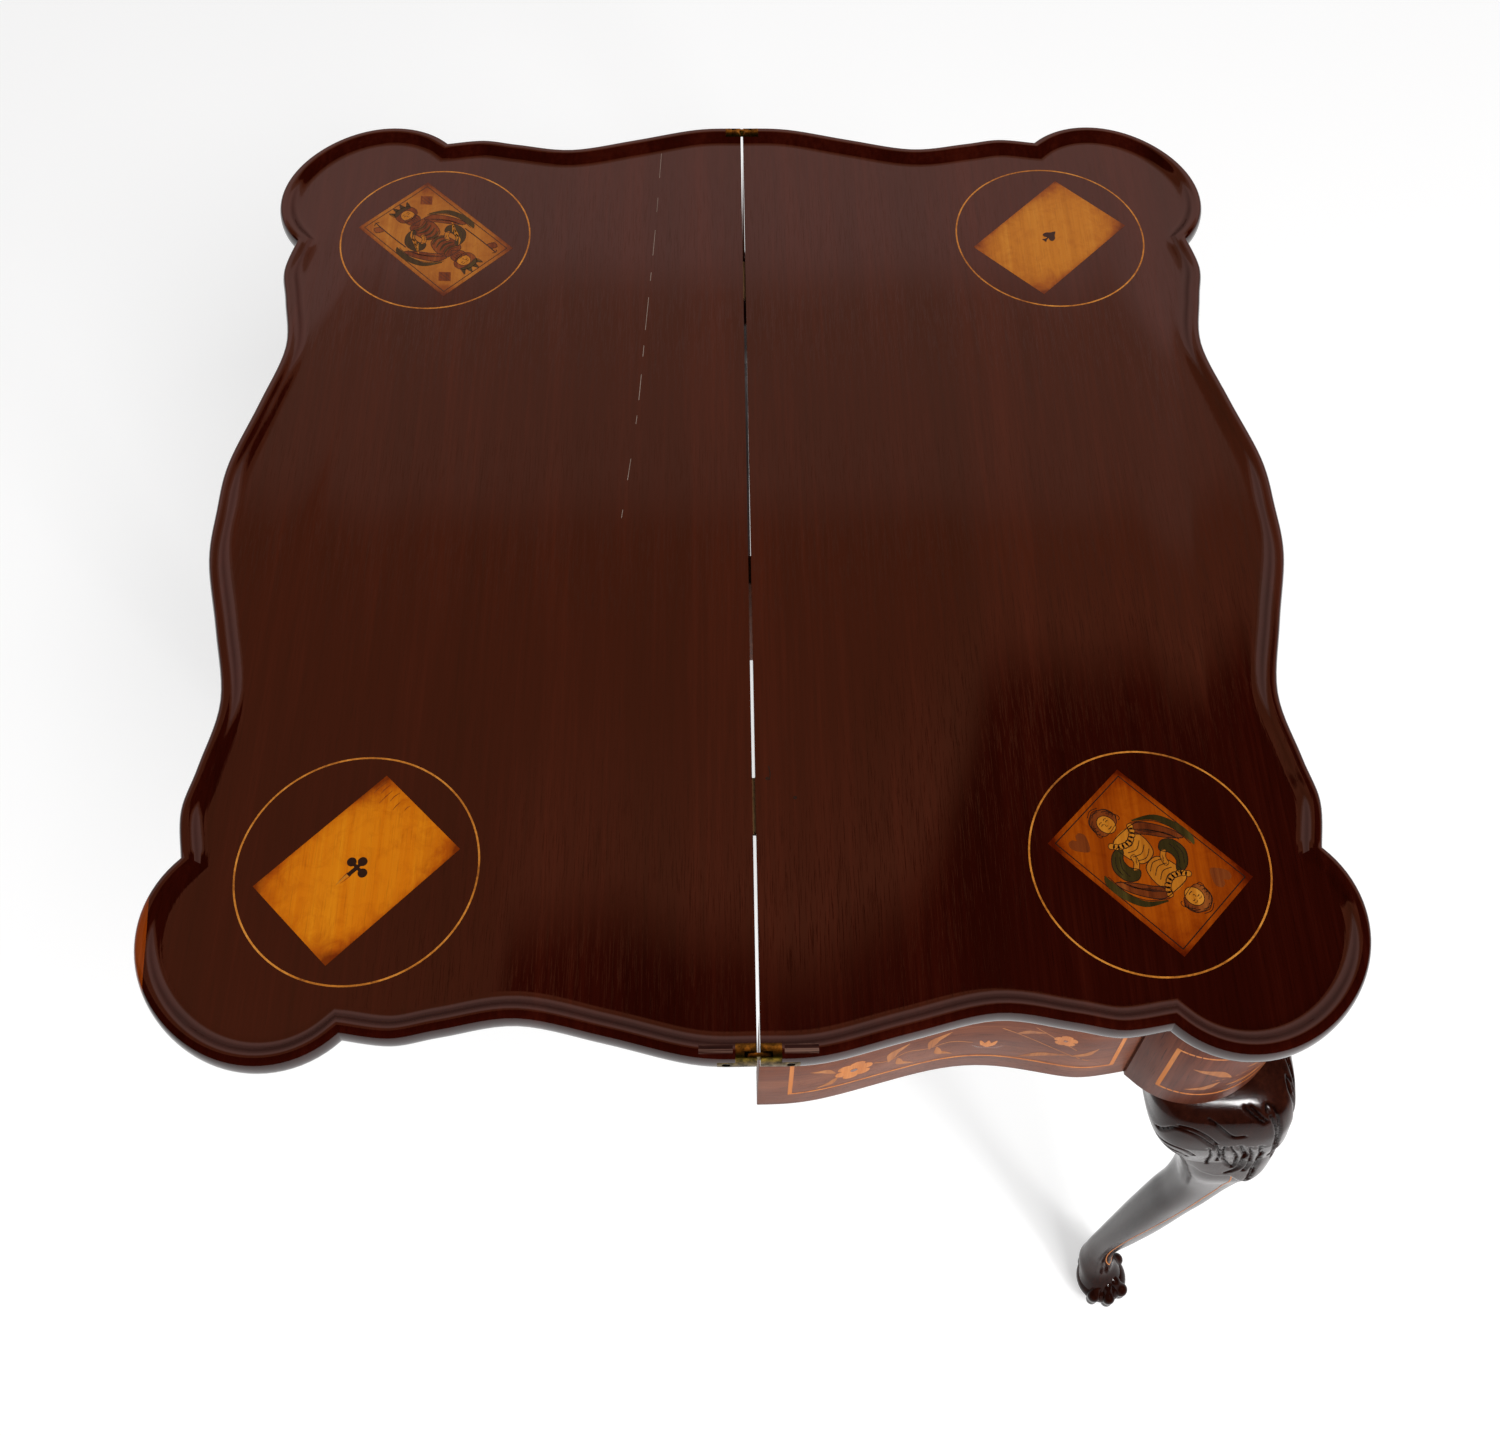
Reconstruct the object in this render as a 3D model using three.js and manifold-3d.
// Card table with a flip top, shown open.
// The fixed leaf carries the frame. The other leaf lies beside it on two double-pivot brass hinges,
// and a leg on a swinging rail stands out behind the frame to hold it up.
// Millimetres, +Z up. X runs along the joint between the leaves, and the front of the table faces -Y.
// The origin is on the floor under the middle of the joint.
import * as THREE from 'three';
import { mergeVertices } from 'three/addons/utils/BufferGeometryUtils.js';
import Module from 'manifold-3d';

const wasm = await Module();
wasm.setup();

// Overall sizes
const topHeight = 780;
const halfLength = 403;
const halfWidth = 388;
const leafThickness = 21;
const dishDepth = 5.5;
const jointGap = 2;
const clearance = 0.3;
const overrun = 3;

// Plan of the top: a round lobe at each corner and a serpentine edge between the lobes
const lobeInX = 76;
const lobeInY = 79;
const lobeRadius = 71;
const lobeFlareShare = 0.148;
const endWaist = 26;
const sideWaist = 28;
const serpentineShares = [[0.16, 0.06], [0.37, 0.56], [0.58, 1], [0.76, 0.76], [0.88, 0.56]];
const lobeSteps = 12;
const serpentineSteps = 8;

// Rim of the top: inset from the outline as a share of rimWidth, height as a share of dishDepth
const rimWidth = 20;
const rimShares = [[0.1, -0.16], [0.21, 0], [0.4, 0], [0.5, -0.16], [0.62, -0.6], [0.78, -0.92], [1, -1]];
// Moulded edge under the bead: inset as a share of edgeInset, depth as a share of leafThickness
const edgeInset = 6.6;
const edgeShares = [[1, 1], [0.43, 0.86], [0.1, 0.66], [0, 0.45], [0.08, 0.16]];

// Corner inlays on the playing surface
const inlayInX = 127;
const inlayInY = 134.5;
const ringRadius = 78.3;
const ringWidth = 2;
const cardLength = 108;
const cardWidth = 74;
const inlayDepth = 1;
const ringSides = 32;
const pipSize = 13;
const pipDepth = 0.6;
const pipSides = 10;
// Leaves of a club as place along, place across and radius, then its stem and half a spade, as shares of half the pip
const clubLeafShares = [[0.6, 0, 0.48], [-0.16, 0.56, 0.48], [-0.16, -0.56, 0.48]];
const clubStemShares = [[-1.1, -0.34], [-0.2, -0.14], [0.3, -0.1], [0.3, 0.1], [-0.2, 0.14], [-1.1, 0.34]];
const spadeShares = [
  [-1, 0.34], [-0.62, 0.1], [-0.74, 0.52], [-0.52, 0.76], [-0.2, 0.74], [0.2, 0.46], [0.62, 0.2], [1.1, 0],
];

// Loose tongues that line the two leaves up
const tongueIn = 170;
const tongueLength = 40;
const tongueReach = 5.5;
const tongueDepth = 12;
const tongueThickness = 3.8;
const tongueUnderSurface = 4.5;
const mortiseRoom = 3.2;
const mortiseHeadroom = 1.95;

const tonguePlay = 0.5;

// Double-pivot hinges let into the rim at both ends of the joint
const pinSpread = 4.7;
const pinDepth = 4.55;
const pinRadius = 1.2;
const pinLength = 7.6;
const pinInset = 0.9;
const bearingPlay = 0.1;
const plateWidth = 11;
const plateReach = 13;
const plateDepth = 10;
const linkThickness = 2.6;
const linkEndRadius = 3.4;
const linkInset = 3.8;
const linkRoom = 0.4;
const armReach = 25;
const armThickness = 2;
const armDrop = 5.2;
const armHeight = 7.6;
const screwReach = 19.5;
const screwHeadRadius = 2.3;
const screwShankRadius = 1.2;
const screwHeadDepth = 1.4;
const screwLength = 10;
const screwSink = 0.9;
const roundSides = 32;
const pinSides = 12;
const linkSides = 16;

// Frame under the fixed leaf
const railHeight = 110;
const railThickness = 22;
const railInset = 13;
const postInset = 11;
const frameDepthShare = 0.965;
const railBackStep = 3.5;
const tenonThickness = 9;
const tenonLength = 18;
const tenonShoulder = 12;
const braceThickness = 22;
const braceHeight = 60;
const blockLength = 56;
const blockSide = 18;
const frontBlockIn = 247;
const endBlockShare = 0.476;
const backBlockIn = 233;
const postCut = 45;

// Back rails, the wooden knuckle joint and the gate
const knucklePinX = -41;
const knuckleRadius = 12;
const knuckleCount = 5;
const knuckleGap = 0.4;
const knuckleSides = 20;
const knucklePinRadius = 3;
const backRailGap = 0.5;
const gateOpenAngle = Math.PI / 2;
const gateDrop = 0.6;

// Cabriole legs
const backLegIn = 72;
const backLegSetback = 34;
const backPostWidth = 50;
const backPostDepth = 50;
const backGirthShare = 0.8;
const frontNeck = 40;
const neckSquareness = 3;
const kneeGirth = 70;
const kneeKick = 66;
// Height as a share of the leg, centre's kick as a share of kneeKick, half diagonal as a share of kneeGirth, and squareness
const legShares = [
  [0.046, 0.833, 0.186, 2],
  [0.065, 0.765, 0.243, 2],
  [0.088, 0.68, 0.226, 2],
  [0.116, 0.665, 0.196, 2],
  [0.149, 0.652, 0.174, 2],
  [0.2, 0.677, 0.173, 2.1],
  [0.293, 0.759, 0.207, 2.3],
  [0.393, 0.844, 0.239, 2.5],
  [0.508, 0.935, 0.259, 2.7],
  [0.586, 1.006, 0.271, 2.8],
  [0.663, 1.029, 0.314, 2.9],
  [0.724, 0.997, 0.409, 3],
  [0.77, 0.958, 0.513, 3.2],
  [0.817, 0.835, 0.614, 3.5],
  [0.863, 0.624, 0.764, 3.8],
  [0.894, 0.474, 0.879, 4.2],
  [0.924, 0.345, 0.93, 4.6],
  [0.958, 0.195, 0.951, 4.8],
  [0.986, 0.074, 0.96, 4.4],
  [1, 0.015, 0.943, 3.6],
];
const legSides = 16;

// Ball and claw foot
const ballRadius = 20.5;
const ballKick = 58;
const ballHeight = 19;
const clawRadius = 5.6;
const clawAngles = [0, 1.25, -1.25, Math.PI];
// Place down the ball from its top in quarter turns, thickness as a share of clawRadius, and lift as a share of ballRadius
const clawShares = [
  [0.1, 0.9, 0.06], [0.32, 1, 0.06], [0.54, 0.8, 0.02], [0.8, 1.1, 0.06], [1.05, 0.82, 0.02], [1.25, 1, 0.03],
  [1.5, 0.4, -0.02],
];
const ballSides = 12;
const clawSides = 6;

// Heights and places worked out from the sizes above
const undersideZ = topHeight - leafThickness;
const surfaceZ = topHeight - dishDepth;
const frameBottomZ = undersideZ - railHeight;
const pinZ = topHeight - pinDepth;
const jointY = jointGap / 2;
const lobeX = halfLength - lobeInX;
const lobeY = halfWidth - lobeInY;
const inlayX = halfLength - inlayInX;
const inlayY = halfWidth - inlayInY;
const tongueX = halfLength - tongueIn;
const frontBlockX = halfLength - frontBlockIn;
const backBlockX = halfLength - backBlockIn;
const backLegX = halfLength - backLegIn;
const legY = lobeY * frameDepthShare;
const endBlockY = legY * endBlockShare;
const knuckleY = -(railBackStep + knuckleRadius);
const backRailY = knuckleY - knuckleRadius - backRailGap;
const backLegY = -(railBackStep + backLegSetback);
const backPostX = backLegX - backPostWidth / 2;
const far = 2 * halfLength;
const weld = 0.0005;

// Materials
const mahogany = new THREE.MeshStandardMaterial({ color: 0x4a1c12, roughness: 0.22, metalness: 0 });
const frameWood = new THREE.MeshStandardMaterial({ color: 0x5b2c20, roughness: 0.35, metalness: 0 });
const secondaryWood = new THREE.MeshStandardMaterial({ color: 0x9a7148, roughness: 0.7, metalness: 0 });
const satinwood = new THREE.MeshStandardMaterial({ color: 0xc8812b, roughness: 0.25, metalness: 0 });
const boxwood = new THREE.MeshStandardMaterial({ color: 0xc4823a, roughness: 0.3, metalness: 0 });
const ebony = new THREE.MeshStandardMaterial({ color: 0x17100c, roughness: 0.3, metalness: 0 });
const brass = new THREE.MeshStandardMaterial({ color: 0xa8842e, roughness: 0.35, metalness: 1 });
const steel = new THREE.MeshStandardMaterial({ color: 0x54504b, roughness: 0.45, metalness: 1 });

// Solids and geometries
function solid(geometry) {
  const bare = geometry.clone();
  bare.deleteAttribute('normal');
  if (bare.hasAttribute('uv')) bare.deleteAttribute('uv');
  const merged = mergeVertices(bare, weld);
  const vertProperties = Float32Array.from(merged.attributes.position.array);
  const triVerts = Uint32Array.from(merged.index.array);
  return new wasm.Manifold(new wasm.Mesh({ numProp: 3, vertProperties, triVerts }));
}

function geometryOf(body) {
  const mesh = body.getMesh();
  const geometry = new THREE.BufferGeometry();
  geometry.setAttribute('position', new THREE.BufferAttribute(Float32Array.from(mesh.vertProperties), mesh.numProp));
  geometry.setIndex(new THREE.BufferAttribute(Uint32Array.from(mesh.triVerts), 1));
  return geometry;
}

function joined(...bodies) {
  return bodies.reduce((sum, next) => sum.add(next));
}

function block(x0, x1, y0, y1, z0, z1) {
  const box = new THREE.BoxGeometry(x1 - x0, y1 - y0, z1 - z0);
  return solid(box.translate((x0 + x1) / 2, (y0 + y1) / 2, (z0 + z1) / 2));
}

// A block on the given end (X) and side (Y) of the table, with its distances counted outwards
function handedBlock(end, side, x0, x1, y0, y1, z0, z1) {
  const [xa, xb] = [end * x0, end * x1].sort((a, b) => a - b);
  const [ya, yb] = [side * y0, side * y1].sort((a, b) => a - b);
  return block(xa, xb, ya, yb, z0, z1);
}

function rod(radius, x0, x1, y, z, sides) {
  const shape = new THREE.CylinderGeometry(radius, radius, x1 - x0, sides);
  return solid(shape.rotateZ(-Math.PI / 2).translate((x0 + x1) / 2, y, z));
}

function post(radius, x, y, z0, z1, sides) {
  const shape = new THREE.CylinderGeometry(radius, radius, z1 - z0, sides);
  return solid(shape.rotateX(Math.PI / 2).translate(x, y, (z0 + z1) / 2));
}

function board(points, z0, z1) {
  const shape = new THREE.Shape(points);
  const plate = new THREE.ExtrudeGeometry(shape, { depth: z1 - z0, bevelEnabled: false });
  return solid(plate.translate(0, 0, z0));
}

// Skins closed rings of points, each turning left about the way the skin runs, and closes both ends.
// Rings with hollows in their outline are level ones, and their ends are triangulated in plan.
function loft(rings, hollow = false) {
  const sides = rings[0].length;
  const position = rings.flat().flatMap((point) => [point.x, point.y, point.z]);
  const index = [];
  for (let level = 0; level < rings.length - 1; level += 1) {
    for (let side = 0; side < sides; side += 1) {
      const a = level * sides + side;
      const b = level * sides + ((side + 1) % sides);
      index.push(a, b, b + sides, a, b + sides, a + sides);
    }
  }
  const fan = rings[0].slice(2).map((point, i) => [0, i + 1, i + 2]);
  const plan = (ring) => THREE.ShapeUtils.triangulateShape(ring.map((p) => new THREE.Vector2(p.x, p.y)), []);
  const capOf = (ring) => (hollow ? plan(ring) : fan);
  const lastRing = (rings.length - 1) * sides;
  for (const [a, b, c] of capOf(rings[0])) index.push(a, c, b);
  for (const [a, b, c] of capOf(rings[rings.length - 1])) index.push(lastRing + a, lastRing + b, lastRing + c);
  const geometry = new THREE.BufferGeometry();
  geometry.setAttribute('position', new THREE.Float32BufferAttribute(position, 3));
  geometry.setIndex(index);
  return solid(geometry);
}

// Plan curves
function lobePoint(angle) {
  const fromDiagonal = angle - Math.PI / 4;
  const flare = lobeFlareShare * (1 - Math.cos(2 * fromDiagonal)) / 2;
  const radius = lobeRadius * (1 + flare);
  return new THREE.Vector2(lobeX + radius * Math.cos(angle), lobeY + radius * Math.sin(angle));
}

// Half a serpentine edge: distance along it from its middle, and how far it is drawn in there
function serpentine(waist, endAlong, endDrawn) {
  const half = serpentineShares.map(([along, drawn]) => new THREE.Vector2(along * endAlong, drawn * waist));
  half.push(new THREE.Vector2(endAlong, endDrawn));
  const mirrored = half.map((p) => new THREE.Vector2(-p.x, p.y)).reverse();
  const curve = new THREE.SplineCurve([...mirrored, new THREE.Vector2(0, 0), ...half]);
  const points = [];
  for (let step = 0; step <= serpentineSteps; step += 1) points.push(curve.getPoint(0.5 + step / serpentineSteps / 2));
  return points;
}

const endNotch = lobePoint(-Math.PI / 4);
const sideNotch = lobePoint(3 * Math.PI / 4);

function outlineOfTop() {
  const quarter = serpentine(endWaist, endNotch.y, halfLength - endNotch.x)
    .map((p) => new THREE.Vector2(halfLength - p.y, p.x));
  for (let step = 1; step < lobeSteps; step += 1) {
    quarter.push(lobePoint(-Math.PI / 4 + Math.PI * step / lobeSteps));
  }
  const side = serpentine(sideWaist, sideNotch.x, halfWidth - sideNotch.y)
    .map((p) => new THREE.Vector2(p.x, halfWidth - p.y));
  quarter.push(...side.reverse());
  const flipped = (points, x, y) => points.map((p) => new THREE.Vector2(p.x * x, p.y * y));
  return [
    ...quarter,
    ...flipped(quarter, -1, 1).reverse().slice(1),
    ...flipped(quarter, -1, -1).slice(1),
    ...flipped(quarter, 1, -1).reverse().slice(1, -1),
  ];
}

const outline = outlineOfTop();
const endNotchIndex = serpentineSteps;
const sideNotchIndex = serpentineSteps + lobeSteps;

// Draws the outline in by a distance, with a mitre at each corner
function drawnIn(points, inset) {
  return points.map((point, i) => {
    const before = points[(i + points.length - 1) % points.length];
    const after = points[(i + 1) % points.length];
    const a = new THREE.Vector2(point.y - before.y, before.x - point.x).normalize();
    const b = new THREE.Vector2(after.y - point.y, point.x - after.x).normalize();
    const mitre = a.clone().add(b).multiplyScalar(inset / (1 + a.dot(b)));
    return point.clone().sub(mitre);
  });
}

function levelRing(points, z) {
  return points.map((p) => new THREE.Vector3(p.x, p.y, z));
}

// The two leaves are one moulded top, parted along the joint
function wholeTop() {
  const rings = edgeShares.map(([inset, depth]) => (
    levelRing(drawnIn(outline, inset * edgeInset), topHeight - depth * leafThickness)));
  for (const [inset, rise] of rimShares) {
    rings.push(levelRing(drawnIn(outline, inset * rimWidth), topHeight + rise * dishDepth));
  }
  return loft(rings, true);
}

// Rounds the rim's upper corner at the joint about the hinge pin, so that the leaf can turn past it
function jointRound(side) {
  const corner = handedBlock(1, side, -far, far, 0, pinSpread, pinZ, topHeight + overrun);
  return corner.subtract(rod(pinDepth, -far - overrun, far + overrun, side * pinSpread, pinZ, roundSides));
}

function cardCorners(x, y, spare) {
  const along = new THREE.Vector2(Math.sign(x), Math.sign(y)).normalize();
  const across = new THREE.Vector2(-along.y, along.x);
  return [[-1, -1], [1, -1], [1, 1], [-1, 1]].map(([a, b]) => (
    new THREE.Vector2(x, y)
      .addScaledVector(along, a * (cardLength / 2 + spare))
      .addScaledVector(across, b * (cardWidth / 2 + spare))));
}

function cardInlay(x, y, spare) {
  return board(cardCorners(x, y, spare), surfaceZ - inlayDepth, surfaceZ + spare);
}

function ringInlay(x, y, spare) {
  const outer = post(ringRadius + spare, x, y, surfaceZ - inlayDepth, surfaceZ + spare, ringSides);
  const hole = ringRadius - ringWidth - spare;
  return outer.subtract(post(hole, x, y, surfaceZ - inlayDepth - overrun, surfaceZ + overrun, ringSides));
}

// A pip points away from the middle of the table, or towards it when it is turned round
function pipInlay(suit, x, y, towards, spare) {
  const size = pipSize / 2;
  const depth = pipDepth + spare;
  const sized = (shares) => shares.map(([a, b]) => new THREE.Vector2(a * size, b * size));
  const plate = (shares) => board(drawnIn(sized(shares), -spare), 0, depth);
  const half = spadeShares.slice(0, -1).map(([a, b]) => [a, -b]);
  const clubLeaf = ([a, b, share]) => post(share * size + spare, a * size, b * size, 0, depth, pipSides);
  const shape = suit === 'club'
    ? joined(...clubLeafShares.map(clubLeaf), plate(clubStemShares))
    : plate([...half, ...[...spadeShares].reverse()]);
  const heading = Math.atan2(Math.sign(y) * towards, Math.sign(x) * towards);
  return shape.rotate([0, 0, THREE.MathUtils.radToDeg(heading)]).translate([x, y, surfaceZ - pipDepth]);
}

// Hinge pieces, for one end of the joint and one side of it
function hingeBlank(end, side) {
  const reach = jointY + plateReach;
  const inner = halfLength - plateWidth;
  const outer = halfLength + overrun;
  const head = handedBlock(end, side, inner, outer, jointY, reach, topHeight - plateDepth, topHeight + overrun);
  const armTop = topHeight - armDrop;
  const armInner = halfLength - armThickness;
  const arm = handedBlock(end, side, armInner, outer, jointY, armReach, armTop - armHeight, armTop);
  return head.add(arm);
}

function hingeSlot(end, side) {
  const middle = halfLength - linkInset;
  const half = linkThickness / 2 + clearance;
  const reach = pinSpread + linkEndRadius + linkRoom;
  const floor = pinZ - linkEndRadius - linkRoom;
  return handedBlock(end, side, middle - half, middle + half, 0, reach, floor, topHeight + overrun);
}

function hingePin(end, side, play, sides) {
  const outer = halfLength - pinInset + (play > 0 ? overrun : 0);
  const inner = halfLength - pinInset - pinLength - play;
  const [x0, x1] = [end * inner, end * outer].sort((a, b) => a - b);
  const radius = (pinRadius + play) / (play > 0 ? Math.cos(Math.PI / sides) : 1);
  return rod(radius, x0, x1, side * pinSpread, pinZ, sides);
}

function hingeLink(end) {
  const middle = halfLength - linkInset;
  const [x0, x1] = [end * (middle - linkThickness / 2), end * (middle + linkThickness / 2)].sort((a, b) => a - b);
  const ends = [-1, 1].map((side) => rod(linkEndRadius, x0, x1, side * pinSpread, pinZ, linkSides));
  const bar = block(x0, x1, -pinSpread, pinSpread, pinZ - linkEndRadius, pinZ + linkEndRadius);
  const holes = [-1, 1].map((side) => hingePin(end, side, bearingPlay, pinSides));
  return joined(...ends, bar).subtract(holes[0]).subtract(holes[1]);
}

function hingeScrew(end, side, play) {
  const y = side * screwReach;
  const z = topHeight - armDrop - armHeight / 2;
  const face = halfLength - screwSink;
  const lap = play > 0 ? overrun : 0;
  const span = (from, to) => [end * from, end * to].sort((a, b) => a - b);
  const [h0, h1] = span(face - screwHeadDepth - play, face + lap);
  const [s0, s1] = span(face - screwLength - play, face);
  return rod(screwHeadRadius + play, h0, h1, y, z, pinSides).add(rod(screwShankRadius + play, s0, s1, y, z, pinSides));
}

// Tongues and the mortises that they enter
function tongue(end) {
  const top = surfaceZ - tongueUnderSurface;
  const half = tongueLength / 2;
  return handedBlock(end, 1, tongueX - half, tongueX + half, jointY - tongueReach, jointY + tongueDepth, top - tongueThickness, top);
}

function tongueMortise(end) {
  const top = surfaceZ - tongueUnderSurface;
  const half = tongueLength / 2 + tonguePlay;
  const deep = tongueReach - jointY + mortiseRoom;
  return handedBlock(end, -1, tongueX - half, tongueX + half, 0, deep, top - tongueThickness - mortiseRoom, top + mortiseHeadroom);
}

// Frame pieces follow the outline of the top, drawn in, and set back a little more at the front
function frameLine(inset) {
  return drawnIn(outline, inset).map((p) => new THREE.Vector2(p.x, p.y * frameDepthShare));
}

const friezeLine = frameLine(railInset);
const endCutY = friezeLine[endNotchIndex].y;
const sideCutX = friezeLine[sideNotchIndex].x;
const insideFrame = board(frameLine(railInset + railThickness + clearance), frameBottomZ, undersideZ);
const frieze = board(friezeLine, frameBottomZ, undersideZ)
  .subtract(board(frameLine(railInset + railThickness), frameBottomZ - overrun, undersideZ + overrun));

// A tenon from a rail's end into the next piece, and the same shape with play for its mortise
function tenonX(x0, direction, y, play) {
  const reach = x0 + direction * (tenonLength + play);
  const root = play > 0 ? x0 - direction * overrun : x0 - direction * tenonShoulder;
  const half = tenonThickness / 2 + play;
  const z0 = frameBottomZ + tenonShoulder - play;
  return block(Math.min(root, reach), Math.max(root, reach), y - half, y + half, z0, undersideZ - tenonShoulder + play);
}

function tenonY(x, y0, direction, play) {
  const reach = y0 + direction * (tenonLength + play);
  const root = play > 0 ? y0 - direction * overrun : y0 - direction * tenonShoulder;
  const half = tenonThickness / 2 + play;
  const z0 = frameBottomZ + tenonShoulder - play;
  return block(x - half, x + half, Math.min(root, reach), Math.max(root, reach), z0, undersideZ - tenonShoulder + play);
}

const endTenonX = friezeLine[endNotchIndex].x - railThickness / 2;
const sideTenonY = friezeLine[sideNotchIndex].y - railThickness / 2;
const backRailMiddle = backRailY - railThickness / 2;

function endRail(end) {
  const reach = endCutY - clearance;
  const curved = frieze.intersect(handedBlock(end, -1, lobeX / 2, far, jointY, reach, frameBottomZ, undersideZ));
  return curved.add(tenonY(end * endTenonX, -endCutY, -1, 0));
}

function frontRail() {
  const reach = sideCutX - clearance;
  const curved = frieze.intersect(block(-reach, reach, -far, -lobeY / 2, frameBottomZ, undersideZ));
  return curved.add(tenonX(sideCutX, 1, -sideTenonY, 0)).add(tenonX(-sideCutX, -1, -sideTenonY, 0));
}

// The corner block over a front leg follows the lobe, and its inner corner is cut off across the diagonal
function frontPost(end) {
  const lobe = board(frameLine(postInset), frameBottomZ, undersideZ);
  const corner = handedBlock(end, -1, sideCutX, far, endCutY, far, frameBottomZ, undersideZ);
  const cut = block(-far, far, -far, -postCut, frameBottomZ, undersideZ)
    .rotate([0, 0, end > 0 ? -135 : 135])
    .translate([end * lobeX, -legY, 0]);
  return lobe.intersect(corner).subtract(cut)
    .subtract(tenonY(end * endTenonX, -endCutY, -1, clearance))
    .subtract(tenonX(end * sideCutX, end, -sideTenonY, clearance));
}

// One section of a leg: a square with round corners, one of which points along the leg's kick
function legRing(x, y, kick, girth, squareness, z) {
  const half = girth / 2 ** (0.5 - 1 / squareness);
  const ring = [];
  for (let side = 0; side < legSides; side += 1) {
    const angle = 2 * Math.PI * side / legSides;
    const c = Math.cos(angle);
    const s = Math.sin(angle);
    const radius = half / (Math.abs(c) ** squareness + Math.abs(s) ** squareness) ** (1 / squareness);
    ring.push(new THREE.Vector3(x + kick.x + radius * c, y + kick.y + radius * s, z));
  }
  return ring;
}

// A cabriole leg with its ball and claw foot, kicked towards the given heading.
// A neck draws it in above its top, so that it runs on into the post over it.
function cabrioleLeg(x, y, heading, girthShare, topZ, neck) {
  const out = new THREE.Vector2(Math.cos(heading), Math.sin(heading));
  const rings = legShares.map(([height, kick, girth, squareness]) => {
    const shift = out.clone().multiplyScalar(kick * kneeKick * girthShare);
    return legRing(x, y, shift, girth * kneeGirth * Math.sqrt(girthShare), squareness, height * topZ);
  });
  if (neck) {
    rings.push(legRing(x, y, new THREE.Vector2(), neck, neckSquareness, topZ));
    rings.push(legRing(x, y, new THREE.Vector2(), neck, neckSquareness, topZ + overrun));
  }
  const foot = new THREE.Vector3(x, y, ballHeight).addScaledVector(new THREE.Vector3(out.x, out.y, 0), ballKick * girthShare);
  const ball = new THREE.SphereGeometry(ballRadius, ballSides, ballSides / 2);
  const body = loft(rings).add(solid(ball.rotateX(Math.PI / 2).translate(foot.x, foot.y, foot.z)));
  const claws = clawAngles.map((angle) => claw(foot, heading + angle));
  const under = block(-far, far, -far, far, -ballRadius, 0);
  return joined(body, ...claws).subtract(under);
}

function claw(foot, heading) {
  const rings = clawShares.map(([turn, thickness, lift]) => {
    const down = turn * Math.PI / 2;
    const radial = new THREE.Vector3(Math.sin(down) * Math.cos(heading), Math.sin(down) * Math.sin(heading), Math.cos(down));
    const across = new THREE.Vector3(-Math.sin(heading), Math.cos(heading), 0);
    const centre = foot.clone().addScaledVector(radial, ballRadius * (1 + lift));
    const ring = [];
    for (let side = 0; side < clawSides; side += 1) {
      const angle = 2 * Math.PI * side / clawSides;
      const point = centre.clone().addScaledVector(radial, Math.cos(angle) * thickness * clawRadius);
      ring.push(point.addScaledVector(across, -Math.sin(angle) * thickness * clawRadius));
    }
    return ring;
  });
  return loft(rings);
}

function frontLeg(end) {
  const heading = end > 0 ? -Math.PI / 4 : -3 * Math.PI / 4;
  const leg = cabrioleLeg(end * lobeX, -legY, heading, 1, frameBottomZ, frontNeck);
  return joined(leg, frontPost(end));
}

// The wooden knuckle joint: one rail's end, in the frame of its pin, with the rail running to the given side
function knuckleEnd(side, odd) {
  const r = knuckleRadius;
  const shoulder = [[0, 0], [r, -r], [far, -r], [far, r], [r, r]];
  const points = shoulder.map(([a, b]) => new THREE.Vector2(side * (a + clearance), b));
  if (side < 0) points.reverse();
  let rail = board(points, frameBottomZ, undersideZ);
  const high = railHeight / knuckleCount;
  for (let i = 0; i < knuckleCount; i += 1) {
    const z0 = frameBottomZ + i * high;
    const own = (i % 2 === 1) === odd;
    const low = i === 0 ? 0 : knuckleGap / 2;
    const top = i === knuckleCount - 1 ? 0 : knuckleGap / 2;
    if (own) rail = rail.add(post(r, 0, 0, z0 + low, z0 + high - top, knuckleSides));
    else rail = rail.subtract(post(r + knuckleGap, 0, 0, z0 - low, z0 + high + top, knuckleSides));
  }
  const bore = (knucklePinRadius + bearingPlay) / Math.cos(Math.PI / pinSides);
  return rail.subtract(post(bore, 0, 0, frameBottomZ - overrun, undersideZ + overrun, pinSides));
}

function knuckleRail() {
  const rail = knuckleEnd(1, false).translate([knucklePinX, knuckleY, 0])
    .subtract(block(backPostX, far, -far, far, frameBottomZ - overrun, undersideZ + overrun));
  return rail.add(tenonX(backPostX, 1, knuckleY, 0));
}

function backRail() {
  const plank = block(-far, backPostX, backRailY - railThickness, backRailY, frameBottomZ, undersideZ);
  return plank.intersect(insideFrame).add(tenonX(backPostX, 1, backRailMiddle, 0));
}

function backLeg() {
  const leg = cabrioleLeg(backLegX, backLegY, Math.PI / 4, backGirthShare, frameBottomZ - backRailGap);
  const top = block(backPostX, far, -railBackStep - backPostDepth, -railBackStep, frameBottomZ, undersideZ)
    .intersect(insideFrame);
  const neck = post(backPostWidth / 2 - overrun, backLegX, -railBackStep - backPostDepth / 2,
    frameBottomZ - overrun, frameBottomZ + overrun, legSides);
  return joined(leg, top, neck)
    .subtract(tenonX(backPostX, 1, knuckleY, clearance))
    .subtract(tenonX(backPostX, 1, backRailMiddle, clearance));
}

// The gate's rail and leg, closed against the frame and measured from the knuckle pin
const gateTopZ = undersideZ - gateDrop;
const gateEnd = backPostX + knucklePinX;

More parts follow.
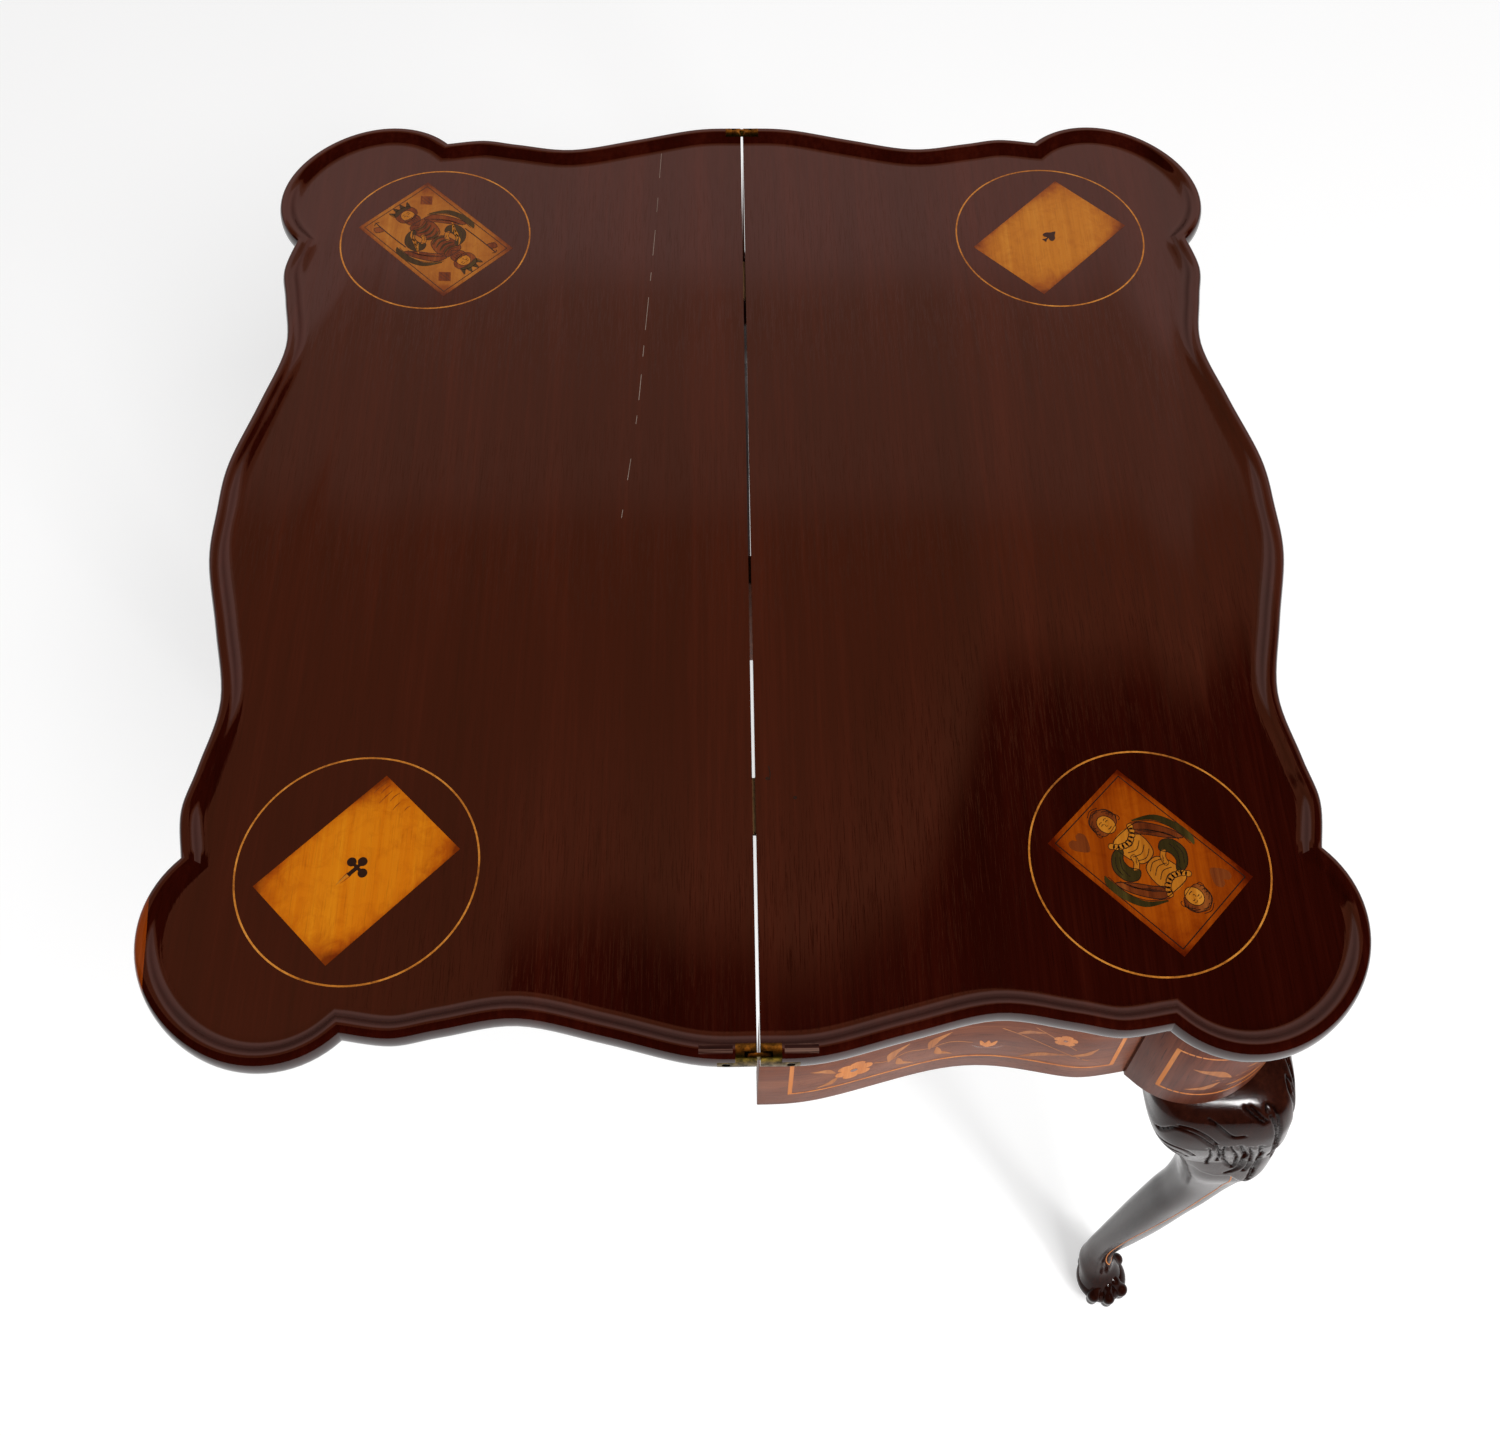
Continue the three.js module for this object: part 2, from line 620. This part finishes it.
function flyRail() {
  const rail = knuckleEnd(-1, true)
    .subtract(block(-2 * far, -gateEnd, -far, far, frameBottomZ - overrun, undersideZ + overrun))
    .subtract(block(-far, far, -far, far, gateTopZ, undersideZ + overrun));
  return rail.add(tenonX(-gateEnd, -1, 0, 0));
}

function flyLeg() {
  const x = -gateEnd - backPostWidth / 2;
  const leg = cabrioleLeg(x, backLegY - knuckleY, 3 * Math.PI / 4, backGirthShare, frameBottomZ - backRailGap);
  const slab = block(-gateEnd - backPostWidth, -gateEnd, -knuckleRadius, knuckleRadius, frameBottomZ - overrun, gateTopZ);
  return leg.add(slab).subtract(tenonX(-gateEnd, -1, 0, clearance));
}

// A three-cornered glue block under the top, against the inside of a rail
function glueBlock(x, y, inward, length) {
  const up = new THREE.Vector3(0, 0, 1);
  const along = new THREE.Vector3().crossVectors(inward, up);
  const corners = [[-blockSide / 2, 0], [-blockSide / 2, -blockSide], [0, -blockSide], [blockSide, 0]];
  const shape = new THREE.Shape(corners.map(([a, b]) => new THREE.Vector2(a, b)));
  const prism = new THREE.ExtrudeGeometry(shape, { depth: length, bevelEnabled: false }).translate(0, 0, -length / 2);
  prism.applyMatrix4(new THREE.Matrix4().makeBasis(inward, up, along)).translate(x, y, undersideZ);
  return solid(prism);
}

// Assembly
const table = new THREE.Group();

function place(name, material, body, parent = table) {
  const mesh = new THREE.Mesh(geometryOf(body), material);
  mesh.name = name;
  parent.add(mesh);
}

const wholeBoard = wholeTop();
const leaves = {
  fixed: wholeBoard.intersect(block(-far, far, -far, -jointY, 0, topHeight + overrun)).subtract(jointRound(-1)),
  flip: wholeBoard.intersect(block(-far, far, jointY, far, 0, topHeight + overrun)).subtract(jointRound(1)),
};

const cards = [
  { name: 'clubs', x: -inlayX, y: inlayY, leaf: 'flip', pip: 'club', towards: -1 },
  { name: 'diamonds', x: inlayX, y: inlayY, leaf: 'flip' },
  { name: 'spades', x: inlayX, y: -inlayY, leaf: 'fixed', pip: 'spade', towards: 1 },
  { name: 'hearts', x: -inlayX, y: -inlayY, leaf: 'fixed' },
];
for (const { name, x, y, leaf, pip, towards } of cards) {
  let card = cardInlay(x, y, 0);
  leaves[leaf] = leaves[leaf].subtract(cardInlay(x, y, clearance)).subtract(ringInlay(x, y, clearance));
  if (pip) {
    card = card.subtract(pipInlay(pip, x, y, towards, clearance));
    place(`pip_${name}`, ebony, pipInlay(pip, x, y, towards, 0));
  }
  place(`card_${name}`, satinwood, card);
  place(`ring_${name}`, boxwood, ringInlay(x, y, 0));
}

const ends = [{ name: 'left', end: -1 }, { name: 'right', end: 1 }];
const sides = [{ name: 'fixed', side: -1 }, { name: 'flip', side: 1 }];
for (const { name, end } of ends) {
  for (const { name: leaf, side } of sides) {
    const blank = hingeBlank(end, side);
    const screwHole = hingeScrew(end, side, clearance);
    const plate = leaves[leaf].intersect(blank)
      .subtract(hingeSlot(end, side))
      .subtract(hingePin(end, side, bearingPlay, pinSides))
      .subtract(screwHole);
    leaves[leaf] = leaves[leaf].subtract(blank).subtract(screwHole);
    place(`hinge_plate_${leaf}_${name}`, brass, plate);
    place(`hinge_pin_${leaf}_${name}`, brass, hingePin(end, side, 0, pinSides));
    place(`hinge_screw_${leaf}_${name}`, steel, hingeScrew(end, side, 0));
  }
  place(`hinge_link_${name}`, brass, hingeLink(end));
  leaves.flip = leaves.flip.subtract(tongue(end));
  leaves.fixed = leaves.fixed.subtract(tongueMortise(end));
  place(`tongue_${name}`, secondaryWood, tongue(end));
}
place('fixed_leaf', mahogany, leaves.fixed);
place('flip_leaf', mahogany, leaves.flip);

place('front_rail', frameWood, frontRail());
for (const { name, end } of ends) {
  place(`end_rail_${name}`, frameWood, endRail(end));
  place(`front_leg_${name}`, mahogany, frontLeg(end));
}
place('back_rail', secondaryWood, backRail());
place('knuckle_rail', frameWood, knuckleRail());
place('back_leg', mahogany, backLeg());
place('knuckle_pin', steel, post(knucklePinRadius, knucklePinX, knuckleY, frameBottomZ, undersideZ - clearance, pinSides));

const brace = block(-braceThickness / 2, braceThickness / 2, -far, backRailY - railThickness, undersideZ - braceHeight, undersideZ);
place('medial_brace', secondaryWood, brace.intersect(insideFrame));

const gate = new THREE.Group();
gate.position.set(knucklePinX, knuckleY, 0);
gate.rotation.z = -gateOpenAngle;
table.add(gate);
place('fly_rail', frameWood, flyRail(), gate);
place('fly_leg', mahogany, flyLeg(), gate);

const frontBlockY = (halfWidth - sideWaist - railInset - railThickness) * frameDepthShare;
const endBlockX = halfLength - endWaist - railInset - railThickness;
const backBlockY = backRailY - railThickness;
for (const { name, end } of ends) {
  const towardsBack = new THREE.Vector3(0, 1, 0);
  const towardsMiddle = new THREE.Vector3(-end, 0, 0);
  const towardsFront = new THREE.Vector3(0, -1, 0);
  const inside = (body) => body.intersect(insideFrame);
  place(`glue_block_front_${name}`, secondaryWood, inside(glueBlock(end * frontBlockX, -frontBlockY, towardsBack, blockLength)));
  place(`glue_block_end_${name}`, secondaryWood, inside(glueBlock(end * endBlockX, -endBlockY, towardsMiddle, blockLength)));
  const back = glueBlock(end * backBlockX, backBlockY, towardsFront, blockLength);
  const behind = block(-far, far, backBlockY, far, frameBottomZ - overrun, undersideZ + overrun);
  place(`glue_block_back_${name}`, secondaryWood, back.subtract(behind));
}

export default table;
